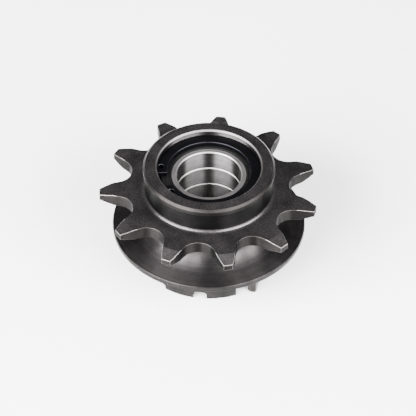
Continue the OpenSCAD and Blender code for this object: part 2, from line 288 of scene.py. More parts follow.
class Nodes:
    """A material's node tree, with one way to add a node to it."""

    def __init__(self, name: str) -> None:
        """Starts a material with only a Principled shader and its output.

        Args:
            name: its name.
        """
        self.material = bpy.data.materials.new(name)
        self.material.use_nodes = True
        self.tree = self.material.node_tree
        self.shader = self.tree.nodes["Principled BSDF"]

    def add(self, kind: str, inputs: Optional[dict] = None, **settings: object) -> bpy.types.Node:
        """Adds a node.

        Args:
            kind: Blender's name of the node's type.
            inputs: socket name or index to a value, or to an output socket to link.
            settings: properties of the node.

        Returns:
            The new node.
        """
        made = self.tree.nodes.new(kind)
        for name, value in settings.items():
            setattr(made, name, value)
        for name, value in (inputs or {}).items():
            if isinstance(value, bpy.types.NodeSocket):
                self.tree.links.new(value, made.inputs[name])
            else:
                made.inputs[name].default_value = value
        return made

    def shade(self, **values: object) -> None:
        """Sets or links sockets of the shader, named with _ for a space.

        Args:
            values: socket name to a value, or to an output socket to link.
        """
        for name, value in values.items():
            socket = self.shader.inputs[name.replace("_", " ")]
            if isinstance(value, bpy.types.NodeSocket):
                self.tree.links.new(value, socket)
            else:
                socket.default_value = value


@dataclass(frozen=True)
class TurnedSteel:
    """Steel with the fine rings that a lathe tool or a grinding wheel leaves.

    The rings follow the radius on faces across the axis and the height on faces along it.
    """

    name: str
    colour: str
    worn_colour: str
    roughness: float
    metallic: float = 1.0
    ring_mm: float = 0.2
    ring_depth_mm: float = 0.002
    patch_mm: float = 5.0
    roughness_spread: float = 0.05
    ring_share: float = 1.0
    brushed: float = 0.0
    chips: float = 0.0
    bare_colour: str = "#b0aba8"

    def build(self) -> bpy.types.Material:
        """Makes the material.

        Returns:
            The material.
        """
        n = Nodes(self.name)
        place = n.add("ShaderNodeTexCoord").outputs["Object"]
        split = n.add("ShaderNodeSeparateXYZ", {0: place})
        flat = n.add("ShaderNodeCombineXYZ", {0: split.outputs[0], 1: split.outputs[1]})
        radius = n.add("ShaderNodeVectorMath", {0: flat.outputs[0]}, operation="LENGTH")
        ring = n.add(
            "ShaderNodeCombineXYZ", {0: radius.outputs["Value"], 1: split.outputs[2]}
        )
        cuts = n.add(
            "ShaderNodeTexNoise",
            {"Vector": ring.outputs[0], "Scale": 1 / (self.ring_mm * MM), "Detail": 3.0},
        )
        patches = n.add(
            "ShaderNodeTexNoise",
            {"Vector": place, "Scale": 1 / (self.patch_mm * MM), "Detail": 4.0},
        )
        grit = n.add("ShaderNodeTexNoise", {"Vector": place, "Scale": 1 / (GRIT * MM)})
        marks = n.add(
            "ShaderNodeMix",
            {0: self.ring_share, 2: grit.outputs[0], 3: cuts.outputs[0]},
            data_type="FLOAT",
        )
        mixed = n.add(
            "ShaderNodeMath", {0: marks.outputs[0], 1: patches.outputs[0]}, operation="MULTIPLY"
        )
        low, high = NOISE_SQUARED
        tone = n.add("ShaderNodeMapRange", {0: mixed.outputs[0], 1: low, 2: high})
        shade = n.add(
            "ShaderNodeMix",
            {0: tone.outputs[0], 6: linear(self.colour), 7: linear(self.worn_colour)},
            data_type="RGBA",
        )
        if self.chips:
            shade = self.chip(n, place, shade.outputs[2])
        rough = n.add(
            "ShaderNodeMapRange",
            {
                0: marks.outputs[0],
                1: NOISE[0],
                2: NOISE[1],
                3: self.roughness - self.roughness_spread,
                4: self.roughness + self.roughness_spread,
            },
        )
        bump = n.add(
            "ShaderNodeBump",
            {"Height": marks.outputs[0], "Strength": 0.6, "Distance": self.ring_depth_mm * MM},
        )
        round_axis = n.add(
            "ShaderNodeVectorMath", {0: (0.0, 0.0, 1.0), 1: place}, operation="CROSS_PRODUCT"
        )
        along = n.add(
            "ShaderNodeVectorTransform",
            {0: round_axis.outputs[0]},
            vector_type="VECTOR",
            convert_from="OBJECT",
            convert_to="WORLD",
        )
        n.shade(
            Base_Color=shade.outputs[2],
            Metallic=self.metallic,
            Roughness=rough.outputs[0],
            Normal=bump.outputs[0],
            Anisotropic=self.brushed,
            Anisotropic_Rotation=0.25,
            Tangent=along.outputs[0],
        )
        return n.material

    def chip(
        self, n: Nodes, place: bpy.types.NodeSocket, skin: bpy.types.NodeSocket
    ) -> bpy.types.Node:
        """Lets tiny specks of bare steel show through the skin.

        Args:
            n: the material's nodes.
            place: the coordinates.
            skin: the colour of the whole skin.

        Returns:
            The node whose colour has the specks.
        """
        specks = n.add("ShaderNodeTexNoise", {"Vector": place, "Scale": 1 / (SPECK * MM)})
        bare = n.add(
            "ShaderNodeMapRange",
            {0: specks.outputs[0], 1: PEAKS[0], 2: PEAKS[1], 3: 0.0, 4: self.chips},
        )
        return n.add(
            "ShaderNodeMix",
            {0: bare.outputs[0], 6: skin, 7: linear(self.bare_colour)},
            data_type="RGBA",
        )


@dataclass(frozen=True)
class MouldedRubber:
    """Nitrile rubber of a bearing seal: black, matt, with a faint grain from its mould."""

    name: str
    colour: str
    roughness: float
    grain_mm: float
    roughness_spread: float = 0.08
    grain_depth_mm: float = 0.01

    def build(self) -> bpy.types.Material:
        """Makes the material.

        Returns:
            The material.
        """
        n = Nodes(self.name)
        place = n.add("ShaderNodeTexCoord").outputs["Object"]
        grain = n.add(
            "ShaderNodeTexNoise",
            {"Vector": place, "Scale": 1 / (self.grain_mm * MM), "Detail": 4.0},
        )
        rough = n.add(
            "ShaderNodeMapRange",
            {
                0: grain.outputs[0],
                1: NOISE[0],
                2: NOISE[1],
                3: self.roughness - self.roughness_spread,
                4: self.roughness + self.roughness_spread,
            },
        )
        bump = n.add(
            "ShaderNodeBump",
            {"Height": grain.outputs[0], "Strength": 0.4, "Distance": self.grain_depth_mm * MM},
        )
        n.shade(
            Base_Color=linear(self.colour),
            Specular_IOR_Level=0.3,
            Roughness=rough.outputs[0],
            Normal=bump.outputs[0],
        )
        return n.material


class Finish(Enum):
    """The finishes of this object's pieces."""

    # A nearly black phosphate skin with a fine grain and a few bare specks.
    BODY = TurnedSteel(
        "phosphated_turned_steel", "#2d2b2c", "#4f4c4d", 0.3, 0.9,
        ring_mm=0.16, ring_depth_mm=0.008, ring_share=0.1, chips=0.6,
    )
    # The same skin where the tool's rings still show, with soft fans of light.
    FLANGE = TurnedSteel(
        "phosphated_turned_flange", "#312f2f", "#4a4748", 0.4, 0.95,
        ring_mm=0.16, ring_depth_mm=0.0015, ring_share=0.7, brushed=0.85,
    )
    # Dark turned walls of the collar, with only faint bands: the skin painted darker as shade on
    # these upright faces.
    WALL = TurnedSteel(
        "phosphated_turned_wall", "#0b0b0b", "#181717", 0.46, 1.0,
        ring_mm=0.3, ring_depth_mm=0.001, ring_share=0.5, brushed=0.9,
    )
    # Milled walls between the teeth and round the pockets, painted darker than the skin as shade:
    # darkest where they face the eye.
    FLANK = TurnedSteel(
        "phosphated_milled_flank", "#131212", "#232121", 0.42, 1.0,
        ring_mm=0.3, ring_share=0.4, brushed=1.0,
    )
    # The pawl carrier's turned outside, a little rubbed and specked.
    CARRIER = TurnedSteel(
        "phosphated_turned_carrier", "#191818", "#312f2f", 0.42, 1.0,
        ring_mm=0.3, ring_depth_mm=0.003, ring_share=0.4, brushed=0.5, chips=0.5,
    )
    # The line round the collar's rim: a darker copy of the skin, painted shade that dims the band
    # the lamps light on the chamfer.
    RIM = TurnedSteel(
        "worn_rim_chamfer", "#1b1a1a", "#2c2a29", 0.42, ring_mm=0.3, ring_share=0.3
    )
    # Dull grey steel on the edges that nothing rubs.
    EDGE = TurnedSteel("worn_steel_edge", "#363433", "#4c4a49", 0.42, 0.92, ring_mm=0.3)
    # The thin bright lines on the upward edges of the teeth: partly steel that the chain keeps
    # bare, partly a painted highlight.
    BARE = TurnedSteel("burnished_tooth_edge", "#7b7775", "#979391", 0.42, 0.9, ring_mm=0.3)
    # The bore's ground wall, with upright bands of light.
    SEAT = TurnedSteel(
        "machined_bearing_seat", "#474545", "#5e5b5b", 0.4, ring_mm=0.3, brushed=1.0
    )
    # The pale line round the bore's mouth.
    MOUTH = TurnedSteel("machined_bore_mouth", "#5e5c5c", "#777475", 0.45, 0.97, ring_mm=0.3)
    # Black spring steel with a faint blue in it.
    RING = TurnedSteel(
        "blackened_spring_steel", "#0e0e11", "#18181c", 0.33, 0.9,
        ring_mm=0.5, ring_depth_mm=0.003, ring_share=0.5,
    )
    # The same, lighter on its broken corners: a painted highlight for the thin light line along
    # the ring's edge.
    RING_EDGE = TurnedSteel(
        "rubbed_spring_steel_edge", "#34343a", "#4a4a50", 0.4, ring_mm=0.5, ring_share=0.5
    )
    # Bright ground steel that stretches the lamps into upright bands.
    RACE = TurnedSteel(
        "ground_bearing_steel", "#595757", "#777575", 0.4, ring_mm=0.3, ring_depth_mm=0.001,
        patch_mm=4.0, brushed=1.0,
    )
    # Ground steel painted lighter as highlight: the brightest thin lines, on the chamfers of the
    # inner races.
    RACE_EDGE = TurnedSteel("ground_race_chamfer", "#838080", "#9d9a9a", 0.42, 0.9)
    # Satin grey on their flat ends.
    RACE_FACE = TurnedSteel("ground_race_face", "#666363", "#827f7f", 0.42, 0.88)
    # Bearing steel painted dark as shade for the shadow between seal and bore.
    OUTER = TurnedSteel("oiled_bearing_steel", "#1d1b1b", "#312e2d", 0.3, brushed=0.3)
    # Mirror-bright balls.
    BALL = TurnedSteel(
        "polished_ball_steel", "#cfcfd2", "#dcdcde", 0.08, ring_mm=1.0, ring_depth_mm=0.0005
    )
    # Satin pressed sheet.
    CAGE = TurnedSteel(
        "pressed_cage_steel", "#a8a49c", "#bdb9b2", 0.35, ring_mm=0.4, ring_depth_mm=0.003
    )
    # Mid-grey ground flanks on the pawls.
    PAWL = TurnedSteel("ground_pawl_steel", "#282626", "#403d3b", 0.36, ring_depth_mm=0.004)
    # Bluish rolled strip.
    LEAF = TurnedSteel("rolled_spring_steel", "#6f7277", "#83868c", 0.28, ring_mm=0.25)
    # Matt black rubber round the races.
    SEAL = MouldedRubber("moulded_nitrile_rubber", "#040404", 0.55, 0.25)


class Paint:
    """Makes each finish once and hands it out."""

    def __init__(self) -> None:
        """Starts with no material made."""
        self.made: dict[Finish, bpy.types.Material] = {}

    def get(self, finish: Finish) -> bpy.types.Material:
        """Hands out the material of a finish.

        Args:
            finish: the finish.

        Returns:
            Its material, made at the first call.
        """
        if finish not in self.made:
            self.made[finish] = finish.value.build()
        return self.made[finish]

    def dress(self, piece: bpy.types.Object, *finishes: Finish) -> None:
        """Gives a piece its materials.

        Args:
            piece: the object.
            finishes: its finishes, in slot order.
        """
        piece.data.materials.clear()
        for finish in finishes:
            piece.data.materials.append(self.get(finish))


@dataclass
class DriverBody:
    """The turned body: cog, collar, neck, dust flange and pawl carrier, in millimetres."""

    teeth: int = 11
    pitch: float = 12.7
    cog_t: float = 3.0
    seat_r: float = 3.95
    seat_arc: float = 62.0
    tip_rise: float = 2.86
    tip_w: float = 2.08
    tip_t: float = 1.5
    bevel_l: float = 3.1
    tooth_turn: float = 83.8
    collar_h: float = 6.85
    collar_r: float = 14.95
    rim_step: float = 0.3
    rim_h: float = 1.5
    rim_under: float = 0.06
    rim_chamfer: float = 0.55
    collar_fillet: float = 0.9
    neck_r: float = 13.9
    neck_l: float = 7.44
    flange_fillet: float = 4.5
    cog_fillet: float = 2.0
    flange_r: float = 22.44
    flange_t: float = 1.52
    flange_edge: float = 0.25
    carrier_r: float = 17.2
    carrier_l: float = 7.59
    carrier_edge: float = 0.3
    bore_seat_r: float = 12.0
    bore_wall_r: float = 10.98
    groove_r: float = 12.6
    groove_top: float = 6.85
    groove_low: float = 5.55
    upper_seat_z: float = -4.4
    lower_seat_z: float = -12.05
    mouth: float = 0.4
    lug_turn: float = -96.8
    lug_arc: float = 57.7
    pawls: int = 3
    pocket_arc: float = 32.3
    pocket_floor_r: float = 13.1
    relief_step: float = 0.6
    relief_h: float = 0.9
    notch_w: float = 3.15
    notch_h: float = 2.2
    notch_round: float = 1.0
    notch_over: float = 0.8
    flank_over: float = 0.4
    floor_short: float = 1.2
    relief_lap: float = 0.4
    pivot_r: float = 14.6
    pivot_back: float = 2.3
    heel_seat_r: float = 1.55
    edge_mm: float = 0.075
    crisp: float = 11.5
    bright_edge_from: float = 21.8
    chords: int = 264

    def __post_init__(self) -> None:
        """Works out the heights and radii that follow from the sizes."""
        self.pitch_r = self.pitch / 2 / math.sin(math.pi / self.teeth)
        self.tip_r = self.pitch_r + self.tip_rise
        self.top = self.cog_t / 2 + self.collar_h
        self.flange_top = -self.cog_t / 2 - self.neck_l
        self.flange_low = self.flange_top - self.flange_t
        self.low = self.flange_low - self.carrier_l
        self.pocket_start = self.lug_turn + self.lug_arc / 2
        self.pocket_end = self.pocket_start + self.pocket_arc
        self.pivot_turn = self.pocket_end + self.pivot_back
        self.step = 360 / self.pawls
        self.relief_end = self.pocket_start + 360 / self.pawls - self.lug_arc

    def section(self) -> list[Point]:
        """The closed section of the blank before anything is cut.

        Returns:
            Its points, outside first.
        """
        half = self.cog_t / 2
        rim = self.collar_r + self.rim_step
        wall, f, g = self.collar_r, self.collar_fillet, self.flange_fillet
        c, e, d = self.cog_fillet, self.flange_edge, self.carrier_edge
        seat, neck = self.bore_seat_r, self.neck_r
        outside = [
            (seat + self.mouth, self.top),
            (rim - self.rim_chamfer, self.top),
            (rim, self.top - self.rim_chamfer),
            (rim, self.top - self.rim_h),
            (wall, self.top - self.rim_h - self.rim_under),
            *arc((wall + f, half + f), f, 180, 270, 10),
            (self.tip_r - self.bevel_l, half),
            (self.tip_r, self.tip_t / 2),
            (self.tip_r, -self.tip_t / 2),
            (self.tip_r - self.bevel_l, -half),
            *arc((neck + c, -half - c), c, 90, 180, 8),
            *arc((neck + g, self.flange_top + g), g, 180, 270, 16),
            (self.flange_r - e, self.flange_top),
            (self.flange_r, self.flange_top - e),
            (self.flange_r, self.flange_low + e),
            (self.flange_r - e, self.flange_low),
            (self.carrier_r, self.flange_low),
            (self.carrier_r, self.low + d),
            (self.carrier_r - d, self.low),
        ]
        inside = [
            (seat + self.mouth, self.low),
            (seat, self.low + self.mouth),
            (seat, self.lower_seat_z),
            (self.bore_wall_r, self.lower_seat_z),
            (self.bore_wall_r, self.upper_seat_z),
            (seat, self.upper_seat_z),
            (seat, self.groove_low),
            (self.groove_r, self.groove_low),
            (self.groove_r, self.groove_top),
            (seat, self.groove_top),
            (seat, self.top - self.mouth),
        ]
        return outside + inside

    def gap_outline(self) -> list[Point]:
        """One gap between two teeth, pointing along +Y: roller seat and convex flanks.

        Returns:
            Its outline.
        """
        half = math.pi / self.teeth - math.asin(self.tip_w / 2 / self.tip_r)
        tip = Vector((math.sin(half), math.cos(half))) * self.tip_r
        a = math.radians(self.seat_arc)
        aim = Vector((math.sin(a), -math.cos(a)))
        middle = Vector((0, self.pitch_r))
        to_tip = tip - middle
        chord = to_tip - self.seat_r * aim
        flank_r = chord.length_squared / (2 * (to_tip.dot(aim) - self.seat_r))
        centre = middle + (self.seat_r + flank_r) * aim
        first = math.degrees(math.atan2(-aim.y, -aim.x))
        spoke = tip - centre
        last = math.degrees(math.atan2(spoke.y, spoke.x))
        over = self.flank_over
        end = (1 + over) * last - over * first
        seat = arc(tuple(middle), self.seat_r, -90, self.seat_arc - 90, 12)
        flank = arc(tuple(centre), flank_r, first, end, 9)
        side = seat + flank[1:]
        return [(-x, y) for x, y in reversed(side[1:])] + side

    def gap_cutter(self) -> bpy.types.Object:
        """All the gaps between the teeth as one cutting object.

        Returns:
            The cutter.
        """
        bm = bmesh.new()
        reach = self.cog_t / 2 + OVER_AXIS
        for i in range(self.teeth):
            turned = self.tooth_turn - 90 + (i + 0.5) * 360 / self.teeth
            swing(bm, prism(bm, self.gap_outline(), -reach, reach), math.radians(turned))
        return add_object("gap_cutter", bm)

    def pocket_outline(self) -> list[Point]:
        """Plan of one pawl pocket: floor, front wall, open side and the seat round the heel.

        Returns:
            Its outline.
        """
        outer = self.carrier_r + OVER_RADIUS
        pivot = turn(self.pivot_r, self.pivot_turn)
        back = math.radians(self.pivot_back)
        to_wall = self.pivot_r * math.sin(back)
        spread = math.degrees(math.acos(to_wall / self.heel_seat_r))
        facing = self.pocket_end - 90
        first, last = facing + spread, facing + 360 - spread
        seat = arc((pivot.x, pivot.y), self.heel_seat_r, first, last, 22)
        foot = self.pocket_end - self.floor_short
        floor = arc((0, 0), self.pocket_floor_r, foot, self.pocket_start, 8)
        rim = arc((0, 0), outer, self.pocket_start, self.pocket_end, 8)
        return floor + rim + seat

    def pocket_cutter(self) -> bpy.types.Object:
        """The pawl pockets as one cutting object.

        Returns:
            The cutter.
        """
        bm = bmesh.new()
        for k in range(self.pawls):
            verts = prism(bm, self.pocket_outline(), self.low - OVER_AXIS, self.flange_low)
            swing(bm, verts, 2 * math.pi * k / self.pawls)
        return add_object("pocket_cutter", bm)

    def relief_cutter(self, inner: float, high: float) -> bpy.types.Object:
        """What is cut back behind the three heels, outside a radius and below a height.

        Args:
            inner: the radius.
            high: the height.

        Returns:
            The cutter.
        """
        start, end = self.pocket_end - self.relief_lap, self.relief_end
        outline = arc((0, 0), inner, end, start, 10)
        outline += arc((0, 0), self.carrier_r + OVER_RADIUS, start, end, 10)
        bm = bmesh.new()
        for k in range(self.pawls):
            verts = prism(bm, outline, self.low - OVER_AXIS, high)
            swing(bm, verts, 2 * math.pi * k / self.pawls)
        return add_object("relief_cutter", bm)

    def notch_cutter(self) -> bpy.types.Object:
        """The notches in the ends of the lugs as one cutting object.

        Returns:
            The cutter.
        """
        w, h, r = self.notch_w / 2, self.notch_h, self.notch_round
        face = [(w, -OVER_AXIS), *arc((w - r, h - r), r, 0, 90, 7)]
        face += [(-x, y) for x, y in reversed(face)]
        quarter = math.radians(90)
        stand = Matrix.Rotation(quarter, 3, "Z") @ Matrix.Rotation(quarter, 3, "X")
        near, far = self.bore_seat_r - self.notch_over, self.carrier_r + OVER_RADIUS
        bm = bmesh.new()
        for k in range(self.pawls):
            verts = prism(bm, face, near, far)
            bmesh.ops.rotate(bm, cent=(0, 0, 0), matrix=stand, verts=verts)
            swing(bm, verts, math.radians(self.lug_turn) + 2 * math.pi * k / self.pawls)
            bmesh.ops.translate(bm, vec=(0, 0, self.low), verts=verts)
        return add_object("notch_cutter", bm)

    def finish_at(self, face: bpy.types.MeshPolygon) -> Finish:
        """Says which finish a face of the cut blank takes.

        Args:
            face: the face.

        Returns:
            Its finish.
        """
        x, y, z = face.center / MM
        across, lean = math.hypot(x, y), face.normal.z
        half = self.cog_t / 2
        if across < self.bore_seat_r + self.mouth and lean < 0.9:
            return Finish.MOUTH if lean > 0.1 else Finish.SEAT
        if self.flange_low < z < -half and across < self.flange_r - self.flange_edge:
            return Finish.FLANGE
        # Upright faces take the wall and flank colours, painted darker than the skin as shade.
        if abs(lean) < 0.1:
            outside = across > self.carrier_r - self.carrier_edge
            if z < self.flange_top and outside:
                return Finish.CARRIER
            on_wall = half < z < self.top - self.rim_h
            return Finish.WALL if on_wall else Finish.FLANK
        # The flange rim's upward chamfer takes the lighter edge steel, its downward one the wall's
        # painted shade.
        if across > self.flange_r - self.flange_edge and z < -half:
            return Finish.EDGE if lean > 0 else Finish.WALL
        if z > self.top - self.rim_chamfer and 0.1 < lean < 0.9:
            return Finish.RIM
        return Finish.BODY

    def edge_wear_and_light_at(self, face: bpy.types.MeshPolygon) -> Finish:
        """Says which finish a broken edge takes.

        Args:
            face: a face of the edge's rounding.

        Returns:
            Bare steel with a painted highlight on the teeth's upward edges, the skin beside it
            round the rims, darker as painted shade on the downward edges, worn steel elsewhere.
        """
        x, y, z = face.center / MM
        across = math.hypot(x, y)
        half = self.cog_t / 2
        # Flange rim: the upward rounding takes the carrier's skin, the downward one the wall's
        # painted shade.
        if across > self.bright_edge_from and z < -half:
            return Finish.CARRIER if face.normal.z > 0 else Finish.WALL
        # Upward tooth edges: bare steel with a painted highlight.
        if across > self.bright_edge_from and face.normal.z > 0.2:
            return Finish.BARE
        if across > self.groove_r and z > half:
            return Finish.RIM if z > self.top - 2 * self.rim_chamfer else Finish.WALL
        return Finish.EDGE

    def build(self, paint: Paint) -> bpy.types.Object:
        """Turns the blank, cuts teeth, pockets and notches and breaks the edges.

        Args:
            paint: hands out the materials.

        Returns:
            The body.
        """
        body = lathe("driver_shell", self.section(), self.chords, self.tooth_turn)
        cut(body, self.gap_cutter())
        cut(body, self.pocket_cutter())
        cut(body, self.relief_cutter(self.carrier_r - self.relief_step, self.flange_low))
        cut(body, self.relief_cutter(self.pocket_floor_r, self.low + self.relief_h))
        cut(body, self.notch_cutter())
        order = [Finish.BODY, Finish.FLANGE, Finish.WALL, Finish.FLANK, Finish.RIM]
        order += [Finish.EDGE, Finish.BARE, Finish.SEAT, Finish.MOUTH, Finish.CARRIER]
        paint.dress(body, *order)
        for face in body.data.polygons:
            face.material_index = order.index(self.finish_at(face))
        edge = order.index(Finish.EDGE)
        break_edges(body, self.edge_mm, edge)
        body.data.set_sharp_from_angle(angle=math.radians(self.crisp))
        settle(body)
        for face in body.data.polygons:
            if face.material_index == edge:
                face.material_index = order.index(self.edge_wear_and_light_at(face))
        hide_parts("driver_body")
        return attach(body, "driver")


@dataclass
class RetainingRing:
    """Internal retaining ring in its groove, in millimetres."""

    outer_r: float = 12.55
    width: float = 2.9
    thick: float = 1.2
    low: float = 5.6
    gap: float = 24.0
    facing: float = 196.0
    hole_d: float = 1.4
    hole_arc: float = 11.0
    edge: float = 0.09
    chords: int = 160

    def build(self, paint: Paint) -> bpy.types.Object:
        """Bends the strip round the bore and drills its two plier holes.

        Args:
            paint: hands out the materials.

        Returns:
            The ring.
        """
        start = self.facing + self.gap / 2
        sweep = 360 - self.gap
        inner = self.outer_r - self.width
        outline = arc((0, 0), self.outer_r, start, start + sweep, self.chords)
        outline += arc((0, 0), inner, start + sweep, start, self.chords)
        bm = bmesh.new()
        prism(bm, outline, self.low, self.low + self.thick)
        ring = add_object("snap_ring", bm)
        holes = bmesh.new()
        for side in (-1, 1):
            spot = turn(
                self.outer_r - self.width / 2,
                self.facing + side * (self.gap / 2 + self.hole_arc),
                self.low + self.thick / 2,
            )
            bmesh.ops.create_cone(
                holes,
                cap_ends=True,
                segments=32,
                radius1=self.hole_d / 2,
                radius2=self.hole_d / 2,
                depth=self.thick * 2,
                matrix=Matrix.Translation(spot),
            )
        cut(ring, add_object("hole_cutter", holes))
        paint.dress(ring, Finish.RING, Finish.RING_EDGE)
        # The broken edges take the painted highlight.
        break_edges(ring, self.edge, 1)
        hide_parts("retaining_ring")
        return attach(ring, "driver")


@dataclass
class Bearing:
    """A 15 x 24 x 5 mm sealed bearing, in millimetres."""

    name: str
    middle: float
    width: float = 5.0
    bore_r: float = 7.5
    outer_r: float = 12.0
    inner_face_r: float = 8.65
    inner_land_r: float = 8.923
    outer_land_r: float = 10.577
    seal_seat_r: float = 10.977
    ball_r: float = 1.1905
    circle_r: float = 9.75
    chamfer: float = 0.22
    back: float = 0.02
    seal_t: float = 0.5
    seal_depth: float = 0.12
    seal_gap: float = 0.07
    seal_play: float = 0.02
    seal_ring: float = 0.33
    seal_dish: float = 0.08
    ring_depth: float = 0.1
    lip_edge: float = 0.12
    shoulder: float = 1.73
    clear: float = 0.03
    inner_edge: float = 0.05
    outer_edge: float = 0.06
    seal_edge: float = 0.03
    chords: int = 192

    def groove(self, start: float, end: float) -> list[Point]:
        """The ball groove's arc between two angles, at the bearing's middle."""
        return arc((self.circle_r, 0), self.ball_r + self.clear, start, end, 12)

    def lift(self, outline: Iterable[Point]) -> list[Point]:
        """Moves an outline up to the bearing's own height."""
        return [(r, z + self.middle) for r, z in outline]

    def inner_race(self, paint: Paint) -> bpy.types.Object:
        """The ground inner race, with a groove for the balls and chamfered ends.

        Args:
            paint: hands out the materials.

        Returns:
            The race.
        """
        h, c, s = self.width / 2 - self.back, self.chamfer, self.shoulder
        r = self.ball_r + self.clear
        reach = math.degrees(math.acos((self.circle_r - self.inner_land_r) / r))
        outline = [
            (self.bore_r, -h + c),
            (self.bore_r + c, -h),
            (self.inner_face_r, -h),
            (self.inner_face_r, -s),
            (self.inner_land_r, -s),
            *self.groove(180 + reach, 180 - reach),
            (self.inner_land_r, s),
            (self.inner_face_r, s),
            (self.inner_face_r, h),
            (self.bore_r + c, h),
            (self.bore_r, h - c),
        ]
        race = lathe(f"{self.name}_ground_inner_race", self.lift(outline), self.chords)
        paint.dress(race, Finish.RACE, Finish.RACE_EDGE, Finish.RACE_FACE)
        # Chamfers take the painted highlight, flat ends the satin face.
        for face in race.data.polygons:
            lean = abs(face.normal.z)
            if lean > 0.5:
                face.material_index = 1 if lean < 0.95 else 2
        break_edges(race, self.inner_edge, 1)
        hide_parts(f"{self.name}_inner_race")
        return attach(race, f"{self.name}_inner")

    def outer_race(self, paint: Paint) -> bpy.types.Object:
        """The outer race, with steps for the seals.

        Args:
            paint: hands out the materials.

        Returns:
            The race.
        """
        h, c, s = self.width / 2, self.chamfer, self.shoulder
        r = self.ball_r + self.clear
        reach = math.degrees(math.acos((self.outer_land_r - self.circle_r) / r))
        outline = [
            (self.seal_seat_r, -h),
            (self.outer_r - c, -h),
            (self.outer_r, -h + c),
            (self.outer_r, h - c),
            (self.outer_r - c, h),
            (self.seal_seat_r, h),
            (self.seal_seat_r, s),
            (self.outer_land_r, s),
            *self.groove(reach, -reach),
            (self.outer_land_r, -s),
            (self.seal_seat_r, -s),
        ]
        race = lathe(f"{self.name}_ground_outer_race", self.lift(outline), self.chords)
        # Painted shade on the whole outer race.
        paint.dress(race, Finish.OUTER)
        break_edges(race, self.outer_edge, 0)
        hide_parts(f"{self.name}_outer_race")
        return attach(race, "driver")

    def seal(self, side: Side, paint: Paint) -> bpy.types.Object:
        """A seal with a shallow ring round its lip and a shallow dish in its web.

        Args:
            side: the end of the bearing that it closes.
            paint: hands out the materials.

        Returns:
            The seal.
        """
        inner = self.inner_face_r + self.seal_gap
        outer = self.seal_seat_r - self.seal_play
        top = self.width / 2 - self.seal_depth
        low = top - self.seal_t
        dish = top - self.seal_dish
        line = inner + self.seal_ring
        # Across the seal: rim, dish, the ring round the lip and the lip's broken edge.
        face = [
            (inner, low),
            (outer, low),
            (outer, top),
            (outer - 0.25, top),
            (outer - 0.4, dish),
            (line + 0.3, dish),
            (line + 0.16, top),
            (line + 0.1, top),
            (line + 0.05, top - self.ring_depth),
            (line, top),
            (inner + 0.08, top),
            (inner, top - self.lip_edge),
        ]
        outline = [(r, side.value * z) for r, z in face]
        kind = "upper" if side is Side.OUTBOARD else "lower"
        seal = lathe(f"{self.name}_{kind}_moulded_seal", self.lift(outline), self.chords)
        paint.dress(seal, Finish.SEAL)
        break_edges(seal, self.seal_edge, 0)
        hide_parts(f"{self.name}_{kind}_seal")
        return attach(seal, "driver")

    def build(self, paint: Paint, nodes: dict[str, bpy.types.Object]) -> list[bpy.types.Object]:
        """Makes both races and both seals, and dresses the balls and the cage inside.

        Args:
            paint: hands out the materials.
            nodes: the CAD nodes by name.

        Returns:
            The four new pieces.
        """
        paint.dress(nodes[f"{self.name}_balls"], Finish.BALL)
        paint.dress(nodes[f"{self.name}_cage"], Finish.CAGE)
        made = [self.inner_race(paint), self.outer_race(paint)]
        made += [self.seal(side, paint) for side in Side]
        return made


@dataclass
class Spacer:
    """Tube between the inner races of the middle and inboard bearings, in millimetres."""

    bore_r: float = 7.5
    wall: float = 1.2
    top: float = -4.38
    low: float = -12.05
    edge: float = 0.2
    burr: float = 0.04
    chords: int = 192

    def build(self, paint: Paint) -> bpy.types.Object:
        """Turns the tube.

        Args:
            paint: hands out the materials.

        Returns:
            The tube.
        """
        a, b, e = self.bore_r, self.bore_r + self.wall, self.edge
        outline = [
            (a, self.low + e),
            (a + e, self.low),
            (b - e, self.low),
            (b, self.low + e),
            (b, self.top - e),
            (b - e, self.top),
            (a + e, self.top),
            (a, self.top - e),
        ]
        tube = lathe("turned_spacer", outline, self.chords)
        paint.dress(tube, Finish.RACE, Finish.RACE_EDGE)
        for face in tube.data.polygons:
            # Chamfers take the painted highlight.
            face.material_index = int(0.5 < abs(face.normal.z) < 0.95)
        break_edges(tube, self.burr, 0)
        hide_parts("bearing_spacer")
        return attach(tube, "middle_inner")


